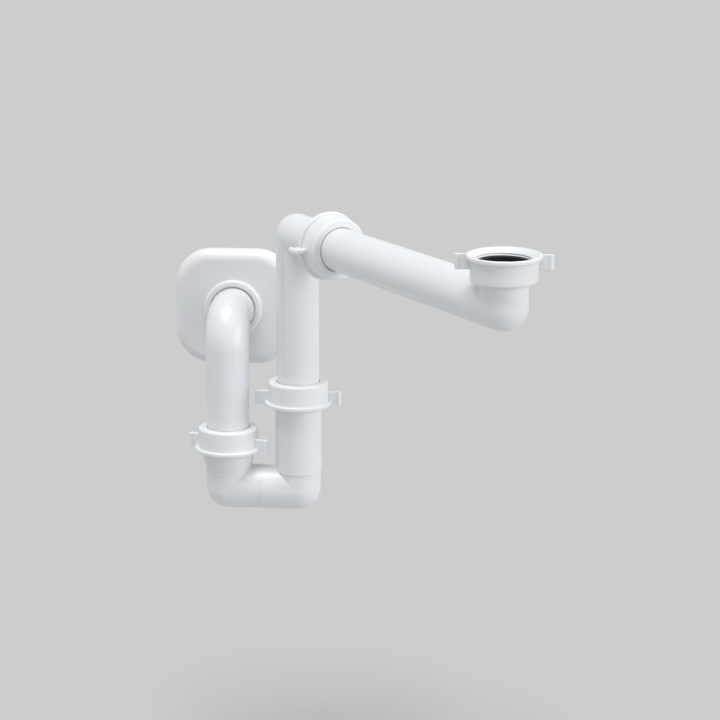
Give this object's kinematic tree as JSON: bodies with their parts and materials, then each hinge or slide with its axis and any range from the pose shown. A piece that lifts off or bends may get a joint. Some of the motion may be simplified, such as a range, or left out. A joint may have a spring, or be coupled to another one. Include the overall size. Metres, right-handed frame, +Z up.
{
  "type": "space saving sink trap",
  "caption": "White plastic space saving trap: wall outlet with rosette, U bend, height-adjustable riser, long swivelling inlet arm and union nut, joined by compression wing nuts.",
  "frame": {"origin": "on the axis of the wall spigot, in the plane of the finished wall", "axes": "+X along the wall to the right, +Y into the wall along the spigot, +Z up"},
  "size_m": [0.3613, 0.4336, 0.3096],
  "materials": {
    "pipe_plastic": "white moulded polypropylene, satin gloss",
    "nut_plastic": "white moulded polypropylene nuts, satin gloss",
    "rosette_plastic": "white moulded cover, satin gloss",
    "ring_plastic": "plain slip ring",
    "seal_rubber": "grey wedge seal",
    "gasket_rubber": "black flat gasket"
  },
  "bodies": {
    "outlet": {"outlet_pipe": "pipe_plastic"},
    "rosette": {"wall_rosette": "rosette_plastic"},
    "outlet_seal": {"outlet_seal": "seal_rubber"},
    "trap": {"trap_bend": "pipe_plastic"},
    "outlet_slip_ring": {"outlet_slip_ring": "ring_plastic"},
    "outlet_nut": {"outlet_nut": "nut_plastic"},
    "riser_seal": {"riser_seal": "seal_rubber"},
    "riser": {"down_pipe": "pipe_plastic"},
    "riser_slip_ring": {"riser_slip_ring": "ring_plastic"},
    "riser_nut": {"riser_nut": "nut_plastic"},
    "elbow_seal": {"elbow_seal": "seal_rubber"},
    "arm": {"inlet_arm": "pipe_plastic"},
    "inlet_gasket": {"inlet_gasket": "gasket_rubber"},
    "elbow_slip_ring": {"elbow_slip_ring": "ring_plastic"},
    "elbow_nut": {"elbow_nut": "nut_plastic"},
    "inlet_nut": {"inlet_nut": "nut_plastic"}
  },
  "joints": [
    {"name": "rosette_slide", "type": "slide", "parent": "outlet", "child": "rosette", "axis": [0, -1, 0], "range_m": [0, 0.018]},
    {"name": "trap_slide", "type": "slide", "parent": "outlet", "child": "outlet_seal", "axis": [0, 0, -1], "range_m": [0, 0.012]},
    {"name": "trap_swivel", "type": "hinge", "parent": "outlet_seal", "child": "trap", "pos_m": [0, -0.064, -0.126], "axis": [0, 0, 1], "range_deg": [-180, 0]},
    {"name": "outlet_ring_slide", "type": "slide", "parent": "trap", "child": "outlet_slip_ring", "axis": [0, 0, 1], "range_m": [0, 0.0104]},
    {"name": "outlet_nut_turn", "type": "hinge", "parent": "outlet_slip_ring", "child": "outlet_nut", "pos_m": [0, -0.064, -0.126], "axis": [0, 0, 1], "range_deg": [0, 1620]},
    {"name": "riser_swivel", "type": "hinge", "parent": "trap", "child": "riser_seal", "pos_m": [0.067, -0.064, -0.08], "axis": [0, 0, 1], "range_deg": [-125.4, 54.6]},
    {"name": "riser_slide", "type": "slide", "parent": "riser_seal", "child": "riser", "axis": [0, 0, 1], "range_m": [-0.025, 0.028]},
    {"name": "riser_ring_slide", "type": "slide", "parent": "trap", "child": "riser_slip_ring", "axis": [0, 0, 1], "range_m": [0, 0.0104]},
    {"name": "riser_nut_turn", "type": "hinge", "parent": "riser_slip_ring", "child": "riser_nut", "pos_m": [0.067, -0.064, -0.08], "axis": [0, 0, 1], "range_deg": [0, 1620]},
    {"name": "arm_swivel", "type": "hinge", "parent": "riser", "child": "elbow_seal", "pos_m": [0.09886, -0.10883, 0.0827], "axis": [0.5793, -0.8151, 0], "continuous": true},
    {"name": "arm_slide", "type": "slide", "parent": "elbow_seal", "child": "arm", "axis": [0.5793, -0.8151, 0], "range_m": [0, 0.012]},
    {"name": "elbow_ring_slide", "type": "slide", "parent": "riser", "child": "elbow_slip_ring", "axis": [0.5793, -0.8151, 0], "range_m": [0, 0.0104]},
    {"name": "elbow_nut_turn", "type": "hinge", "parent": "elbow_slip_ring", "child": "elbow_nut", "pos_m": [0.09886, -0.10883, 0.0827], "axis": [0.5793, -0.8151, 0], "range_deg": [0, 1620]},
    {"name": "inlet_nut_spin", "type": "hinge", "parent": "arm", "child": "inlet_gasket", "pos_m": [0.26454, -0.34196, 0.1266], "axis": [0, 0, 1], "continuous": true},
    {"name": "inlet_nut_lift", "type": "slide", "parent": "inlet_gasket", "child": "inlet_nut", "axis": [0, 0, 1], "range_m": [0, 0.0062]}
  ],
  "couplings": [
    {"joint": "outlet_ring_slide", "follows": "outlet_nut_turn", "m_per_rad": 0.0003675},
    {"joint": "riser_ring_slide", "follows": "riser_nut_turn", "m_per_rad": 0.0003675},
    {"joint": "elbow_ring_slide", "follows": "elbow_nut_turn", "m_per_rad": 0.0003675}
  ]
}
